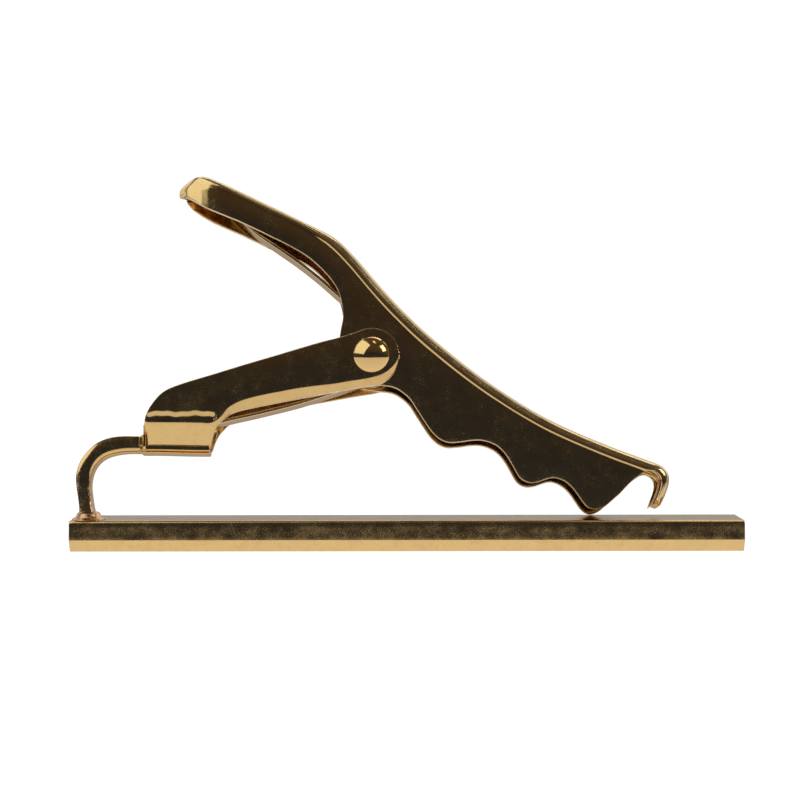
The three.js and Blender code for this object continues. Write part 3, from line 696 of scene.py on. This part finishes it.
# edge: pale colour painted on the cut edges as a highlight line
def gold(name, base=(0.735, 0.505, 0.215), worn=(0.58, 0.34, 0.15), rough=0.09, pits=1.0, stain=0.35, seed=0.0, haze=0.24, foot=False, back_lines_and_highlight=False, mottle=0.12, edge=(0.88, 0.70, 0.44), edge_rough=0.14):
    """Polished gold plate: cloudy tone, fine scratches, pits that catch light, and a slightly uneven surface."""
    mat = bpy.data.materials.new(name)
    mat.use_nodes = True
    nt = mat.node_tree
    nt.nodes.clear()
    out = node(nt, "ShaderNodeOutputMaterial")
    bsdf = node(nt, "ShaderNodeBsdfPrincipled")
    bsdf.inputs["Metallic"].default_value = 1.0
    nt.links.new(bsdf.outputs[0], out.inputs[0])
    tc = node(nt, "ShaderNodeTexCoord")
    mp = node(nt, "ShaderNodeMapping")
    mp.inputs["Location"].default_value = (seed, seed * 0.7, seed * 1.3)
    nt.links.new(tc.outputs["Object"], mp.inputs["Vector"])

    def noise(scale, detail=4.0, rough_=0.55, distortion=0.0):
        n = node(nt, "ShaderNodeTexNoise")
        n.inputs["Scale"].default_value = scale
        n.inputs["Detail"].default_value = detail
        n.inputs["Roughness"].default_value = rough_
        n.inputs["Distortion"].default_value = distortion
        nt.links.new(mp.outputs[0], n.inputs["Vector"])
        return n.outputs["Fac"]

    def ramp(src, stops):
        r = node(nt, "ShaderNodeValToRGB")
        while len(r.color_ramp.elements) < len(stops):
            r.color_ramp.elements.new(0.5)
        for el, (pos, val) in zip(r.color_ramp.elements, stops):
            el.position = pos
            el.color = (val, val, val, 1) if isinstance(val, (int, float)) else (*val, 1)
        nt.links.new(src, r.inputs[0])
        return r.outputs[0]

    def math_(op, a, b):
        m = node(nt, "ShaderNodeMath", operation=op)
        for i, x in enumerate((a, b)):
            if isinstance(x, (int, float)):
                m.inputs[i].default_value = x
            else:
                nt.links.new(x, m.inputs[i])
        return m.outputs[0]

    def mix(fac, a, b):
        m = node(nt, "ShaderNodeMix", data_type="RGBA")
        if isinstance(fac, (int, float)):
            m.inputs[0].default_value = fac
        else:
            nt.links.new(fac, m.inputs[0])
        for i, x in ((6, a), (7, b)):
            if isinstance(x, tuple):
                m.inputs[i].default_value = (*x, 1)
            else:
                nt.links.new(x, m.inputs[i])
        return m.outputs[2]

    cloud = ramp(noise(420, 5, 0.6), [(0.36, 0.0), (0.66, 1.0)])
    blot = ramp(noise(1500, 4, 0.62, 0.4), [(0.50, 0.0), (0.70, 1.0)])
    colour = mix(math_("MULTIPLY", cloud, stain), base, tuple(0.55 * b + 0.45 * w for b, w in zip(base, worn)))
    colour = mix(math_("MULTIPLY", blot, stain * 0.8), colour, worn)

    # specks: round dots in randomly chosen cells, in two sizes
    def specks(scale, r0, r1, keep, patch, lo, hi):
        vor = node(nt, "ShaderNodeTexVoronoi", feature="F1")
        vor.inputs["Scale"].default_value = scale
        nt.links.new(mp.outputs[0], vor.inputs["Vector"])
        cell = node(nt, "ShaderNodeSeparateColor")
        nt.links.new(vor.outputs["Color"], cell.inputs[0])
        chosen = math_("GREATER_THAN", cell.outputs[0], 1 - keep)
        dot = math_("MULTIPLY", ramp(vor.outputs["Distance"], [(r0, 1.0), (r1, 0.0)]), cell.outputs[1])
        return math_("MULTIPLY", math_("MULTIPLY", dot, chosen), ramp(noise(patch, 2, 0.5), [(lo, 0.15), (hi, 1.0)]))

    pit = math_("MULTIPLY", math_("ADD", specks(8200, 0.10, 0.34, 0.26, 700, 0.40, 0.62), specks(3300, 0.05, 0.16, 0.14, 500, 0.38, 0.58)), pits)
    if back_lines_and_highlight:
        back_tag = node(nt, "ShaderNodeAttribute", attribute_name="back")
        pit = math_("MULTIPLY", pit, ramp(back_tag.outputs["Fac"], [(0.0, 1.0), (0.8, 0.25)]))
    fleck = ramp(noise(14000, 3, 0.62), [(0.50, 0.0), (0.74, 1.0)])
    rub = ramp(noise(560, 7, 0.72), [(0.34, 0.0), (0.66, 1.0)])

    def stored(key):
        a = node(nt, "ShaderNodeAttribute", attribute_name=key)
        return a.outputs["Fac"]

    cut = ramp(stored("edge"), [(0.40, 0.0), (0.80, 1.0)])
    h_extra = None
    if foot:
        sep_ = node(nt, "ShaderNodeSeparateXYZ")
        nt.links.new(tc.outputs["Object"], sep_.inputs[0])
        low = node(nt, "ShaderNodeMapRange", interpolation_type="SMOOTHSTEP")
        low.inputs[1].default_value, low.inputs[2].default_value = 0.0092, 0.0048
        nt.links.new(sep_.outputs[2], low.inputs[0])
        # the strap and the foot of the trough get neither the painted edge highlight nor the rubbed, duller edge
        high = node(nt, "ShaderNodeMapRange", interpolation_type="SMOOTHSTEP")
        high.inputs[1].default_value, high.inputs[2].default_value = 0.0104, 0.0116
        nt.links.new(sep_.outputs[2], high.inputs[0])
        cut = math_("MULTIPLY", cut, high.outputs[0])
        scab = noise(1300, 3, 0.6, 0.6)
        patina = math_("MULTIPLY", low.outputs[0], ramp(noise(1700, 3, 0.6), [(0.40, 0.0), (0.62, 1.0)]))
        colour = mix(math_("MULTIPLY", patina, 0.75), colour, (0.55, 0.36, 0.30))
        h_extra = math_("MULTIPLY", math_("MULTIPLY", low.outputs[0], scab), 0.000055)
    # cut edges: a paler line painted as a highlight that stands in for the bright rim reflections, and plating rubbed
    # to a duller (rougher) finish
    edge_highlight_and_wear = math_("MULTIPLY", cut, ramp(noise(2400, 4, 0.6), [(0.30, 0.55), (0.60, 1.0)]))
    colour = mix(edge_highlight_and_wear, colour, edge)
    lines = None
    if back_lines_and_highlight:
        # fine lines along the rolled back, and a painted highlight that colours the back paler
        one = node(nt, "ShaderNodeTexNoise", noise_dimensions="1D")
        one.inputs["Scale"].default_value = 5.5
        one.inputs["Detail"].default_value = 4.0
        one.inputs["Roughness"].default_value = 0.65
        nt.links.new(stored("across"), one.inputs["W"])
        lines = math_("MULTIPLY", ramp(one.outputs["Fac"], [(0.36, 0.0), (0.64, 1.0)]), stored("back"))
        # painted highlight: the rolled back is coloured paler to stand in for the lit band along the bend
        colour = mix(math_("MULTIPLY", stored("back"), 0.55), colour, (0.74, 0.60, 0.36))
    nt.links.new(colour, bsdf.inputs["Base Color"])
    # roughness: haze, rubbed patches and flecks
    r1 = ramp(noise(700, 5, 0.65), [(0.30, max(0.02, rough - 0.04)), (0.72, rough + mottle)])
    r2 = math_("ADD", r1, math_("MULTIPLY", pit, 0.42))
    r2 = math_("ADD", r2, math_("MULTIPLY", math_("MULTIPLY", fleck, rub), haze))
    r2 = math_("ADD", r2, math_("MULTIPLY", edge_highlight_and_wear, edge_rough))
    if lines is not None:
        r2 = math_("ADD", r2, math_("ADD", math_("MULTIPLY", stored("back"), 0.02), math_("MULTIPLY", lines, 0.07)))
    nt.links.new(r2, bsdf.inputs["Roughness"])
    # bump: waviness, scratches, pits
    scr = node(nt, "ShaderNodeTexNoise")
    smp = node(nt, "ShaderNodeMapping")
    smp.inputs["Scale"].default_value = (900, 9000, 9000)
    smp.inputs["Rotation"].default_value = (0.2, 0.5 + seed, 0.1)
    nt.links.new(tc.outputs["Object"], smp.inputs["Vector"])
    nt.links.new(smp.outputs[0], scr.inputs["Vector"])
    scr.inputs["Scale"].default_value = 1.0
    scr.inputs["Detail"].default_value = 3.0
    h = math_("MULTIPLY", noise(260, 2, 0.4), 0.0000070)
    h = math_("ADD", h, math_("MULTIPLY", noise(1300, 3, 0.5), 0.0000022))
    h = math_("ADD", h, math_("MULTIPLY", noise(6200, 3, 0.6), 0.00000130))
    h = math_("ADD", h, math_("MULTIPLY", scr.outputs["Fac"], 0.00000045))
    h = math_("SUBTRACT", h, math_("MULTIPLY", pit, 0.0000012))
    if lines is not None:
        h = math_("MULTIPLY", h, ramp(stored("back"), [(0.0, 1.0), (0.8, 0.25)]))
        h = math_("ADD", h, math_("MULTIPLY", lines, 0.0000010))
    if h_extra is not None:
        h = math_("ADD", h, h_extra)
    bump = node(nt, "ShaderNodeBump")
    bump.inputs["Strength"].default_value = 1.0
    bump.inputs["Distance"].default_value = 1.0
    nt.links.new(h, bump.inputs["Height"])
    nt.links.new(bump.outputs[0], bsdf.inputs["Normal"])
    return mat


# ---------------------------------------------------------------- pieces
def finish_piece(ob, mat, body, node_name):
    ob.data.materials.clear()
    ob.data.materials.append(mat)
    if body:
        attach(ob, body)
    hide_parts(node_name)
    return ob


bar = finish_piece(build_bar(), gold("gold_bar", rough=0.10, seed=1.3, stain=0.45, haze=0.30), "clip_base", "front_bar")
solder = finish_piece(build_solder(), gold("gold_solder", base=(0.68, 0.44, 0.22), worn=(0.40, 0.22, 0.14), rough=0.22, pits=1.6, stain=0.8, seed=4.1), "clip_base", "solder_joint")
# the arm's cut edges are painted a near-cream highlight line
arm = finish_piece(build_arm(), gold("gold_arm", rough=0.10, seed=2.2, foot=True, mottle=0.14, edge=(0.96, 0.80, 0.56), edge_rough=0.26), "clip_base", "base_arm")
lever = finish_piece(build_lever(), gold("gold_lever", rough=0.09, seed=3.7, back_lines_and_highlight=True), "jaw", "jaw_lever")
rivet = finish_piece(build_rivet(), gold("gold_rivet", rough=0.07, pits=0.5, stain=0.25, seed=5.2, mottle=0.05), "clip_base", "pivot_rivet")
spring = finish_piece(build_spring(), gold("gold_spring", base=(0.70, 0.455, 0.175), rough=0.15, seed=6.4, stain=0.5, mottle=0.07, edge_rough=0.05), None, "leaf_spring")
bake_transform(spring)

# ---------------------------------------------------------------- floor, light, camera
def emission_mat(name, diffuse, glow):
    mat = bpy.data.materials.new(name)
    mat.use_nodes = True
    nt = mat.node_tree
    nt.nodes.clear()
    out = node(nt, "ShaderNodeOutputMaterial")
    add = node(nt, "ShaderNodeAddShader")
    dif = node(nt, "ShaderNodeBsdfDiffuse")
    dif.inputs[0].default_value = (*diffuse, 1)
    em = node(nt, "ShaderNodeEmission")
    em.inputs[0].default_value = (1, 1, 1, 1)
    em.inputs[1].default_value = glow
    nt.links.new(dif.outputs[0], add.inputs[0])
    nt.links.new(em.outputs[0], add.inputs[1])
    nt.links.new(add.outputs[0], out.inputs[0])
    return mat


me = bpy.data.meshes.new("floor")
s = 12.0
me.from_pydata([(-s, -s, -0.00002), (s, -s, -0.00002), (s, s, -0.00002), (-s, s, -0.00002)], [], [(0, 1, 2, 3)])
floor = bpy.data.objects.new("floor", me)
bpy.context.scene.collection.objects.link(floor)
me.materials.append(emission_mat("floor_white", (0.12, 0.12, 0.12), 1.02))
floor.visible_glossy = False

w = bpy.data.worlds.new("studio")
bpy.context.scene.world = w
w.use_nodes = True
nt = w.node_tree
nt.nodes.clear()
out = node(nt, "ShaderNodeOutputWorld")
tc = node(nt, "ShaderNodeTexCoord")
sep = node(nt, "ShaderNodeSeparateXYZ")
nt.links.new(tc.outputs["Generated"], sep.inputs[0])


# angle round the x axis: 0 at the front horizon, 90 overhead, 180 at the back, -90 straight down
flip = node(nt, "ShaderNodeMath", operation="MULTIPLY")
flip.inputs[1].default_value = -1.0
nt.links.new(sep.outputs[1], flip.inputs[0])
around = node(nt, "ShaderNodeMath", operation="ARCTAN2")
nt.links.new(sep.outputs[2], around.inputs[0])
nt.links.new(flip.outputs[0], around.inputs[1])
part = node(nt, "ShaderNodeMapRange")
part.inputs[1].default_value, part.inputs[2].default_value = -math.pi, math.pi
nt.links.new(around.outputs[0], part.inputs[0])
sky = node(nt, "ShaderNodeValToRGB")
STOPS = [
    (-180, (0.44, 0.41, 0.37)), (-160, (0.44, 0.38, 0.32)), (-138, (0.68, 0.65, 0.61)), (-108, (1.02, 1.01, 0.99)), (-60, (0.96, 0.95, 0.93)),
    (-40, (0.88, 0.87, 0.85)), (-12, (0.84, 0.82, 0.80)), (-1.8, (0.80, 0.78, 0.76)), (-0.6, (0.010, 0.010, 0.012)),
    (3, (0.034, 0.036, 0.046)), (10, (0.036, 0.041, 0.056)), (19, (0.025, 0.028, 0.040)), (27, (0.060, 0.045, 0.035)),
    (45, (0.092, 0.068, 0.050)), (75, (0.088, 0.066, 0.046)), (100, (0.100, 0.080, 0.062)), (122, (0.22, 0.21, 0.20)),
    (138, (0.50, 0.49, 0.47)), (148, (1.00, 0.98, 0.94)), (160, (1.00, 0.98, 0.94)), (167, (0.46, 0.46, 0.46)),
    (172, (0.36, 0.36, 0.37)), (180, (0.36, 0.36, 0.37)),
]
while len(sky.color_ramp.elements) < len(STOPS):
    sky.color_ramp.elements.new(0.5)
for el, (deg, val) in zip(sky.color_ramp.elements, STOPS):
    el.position = (deg + 180) / 360
    el.color = (*val, 1)
nt.links.new(part.outputs[0], sky.inputs[0])
bg = node(nt, "ShaderNodeBackground")
nt.links.new(sky.outputs[0], bg.inputs[0])
white = node(nt, "ShaderNodeBackground")
white.inputs[0].default_value = (1, 1, 1, 1)
white.inputs[1].default_value = 1.1
lp = node(nt, "ShaderNodeLightPath")
pick = node(nt, "ShaderNodeMixShader")
nt.links.new(lp.outputs["Is Camera Ray"], pick.inputs[0])
nt.links.new(bg.outputs[0], pick.inputs[1])
nt.links.new(white.outputs[0], pick.inputs[2])
nt.links.new(pick.outputs[0], out.inputs[0])


def softbox(name, direction, distance, size, power, color=(1, 1, 1), target=(0, 0, 0.014)):
    data = bpy.data.lights.new(name, "AREA")
    data.shape = "RECTANGLE"
    data.size, data.size_y = size
    data.energy = power
    data.color = color
    ob = bpy.data.objects.new(name, data)
    bpy.context.scene.collection.objects.link(ob)
    d = Vector(direction).normalized()
    ob.location = Vector(target) + d * distance
    ob.rotation_mode = "QUATERNION"
    ob.rotation_quaternion = d.to_track_quat("Z", "Y")
    ob.visible_camera = False
    return ob


softbox("window", (-0.65, -0.34, 0.68), 0.50, (0.54, 0.52), 1.02, (0.94, 1.0, 1.0))
softbox("side", (0.775, -0.25, 0.59), 0.60, (0.20, 0.26), 0.40)
softbox("top", (0.19, -0.20, 0.96), 0.60, (0.08, 0.14), 0.05, (1.0, 0.92, 0.70))
softbox("rear", (0.02, 0.42, 0.90), 0.70, (0.72, 0.24), 0.85)
softbox("kick", (0.66, 0.50, 0.56), 0.60, (0.34, 0.36), 0.17, (0.92, 1.0, 1.06))

cam_data = bpy.data.cameras.new("camera")
cam_data.sensor_fit = "HORIZONTAL"
cam_data.sensor_width = 36.0
cam_data.lens = 90.5951
cam_data.clip_start, cam_data.clip_end = 0.005, 20.0
cam = bpy.data.objects.new("camera", cam_data)
bpy.context.scene.collection.objects.link(cam)
yaw, pitch, roll = -0.013141, -0.034937, -0.002634
f = Vector((math.sin(yaw) * math.cos(pitch), math.cos(yaw) * math.cos(pitch), math.sin(pitch)))
r = Vector((math.cos(yaw), -math.sin(yaw), 0))
u = r.cross(f)
r2 = r * math.cos(roll) + u * math.sin(roll)
u2 = u * math.cos(roll) - r * math.sin(roll)
cam.matrix_world = Matrix(((r2.x, u2.x, -f.x, 1.82725 * MM), (r2.y, u2.y, -f.y, -180.97976 * MM), (r2.z, u2.z, -f.z, 19.71266 * MM), (0, 0, 0, 1)))
bpy.context.scene.camera = cam

scene = bpy.context.scene
scene.view_settings.view_transform = "Standard"
scene.view_settings.look = "None"
scene.view_settings.exposure = 0.0
scene.view_settings.gamma = 1.0
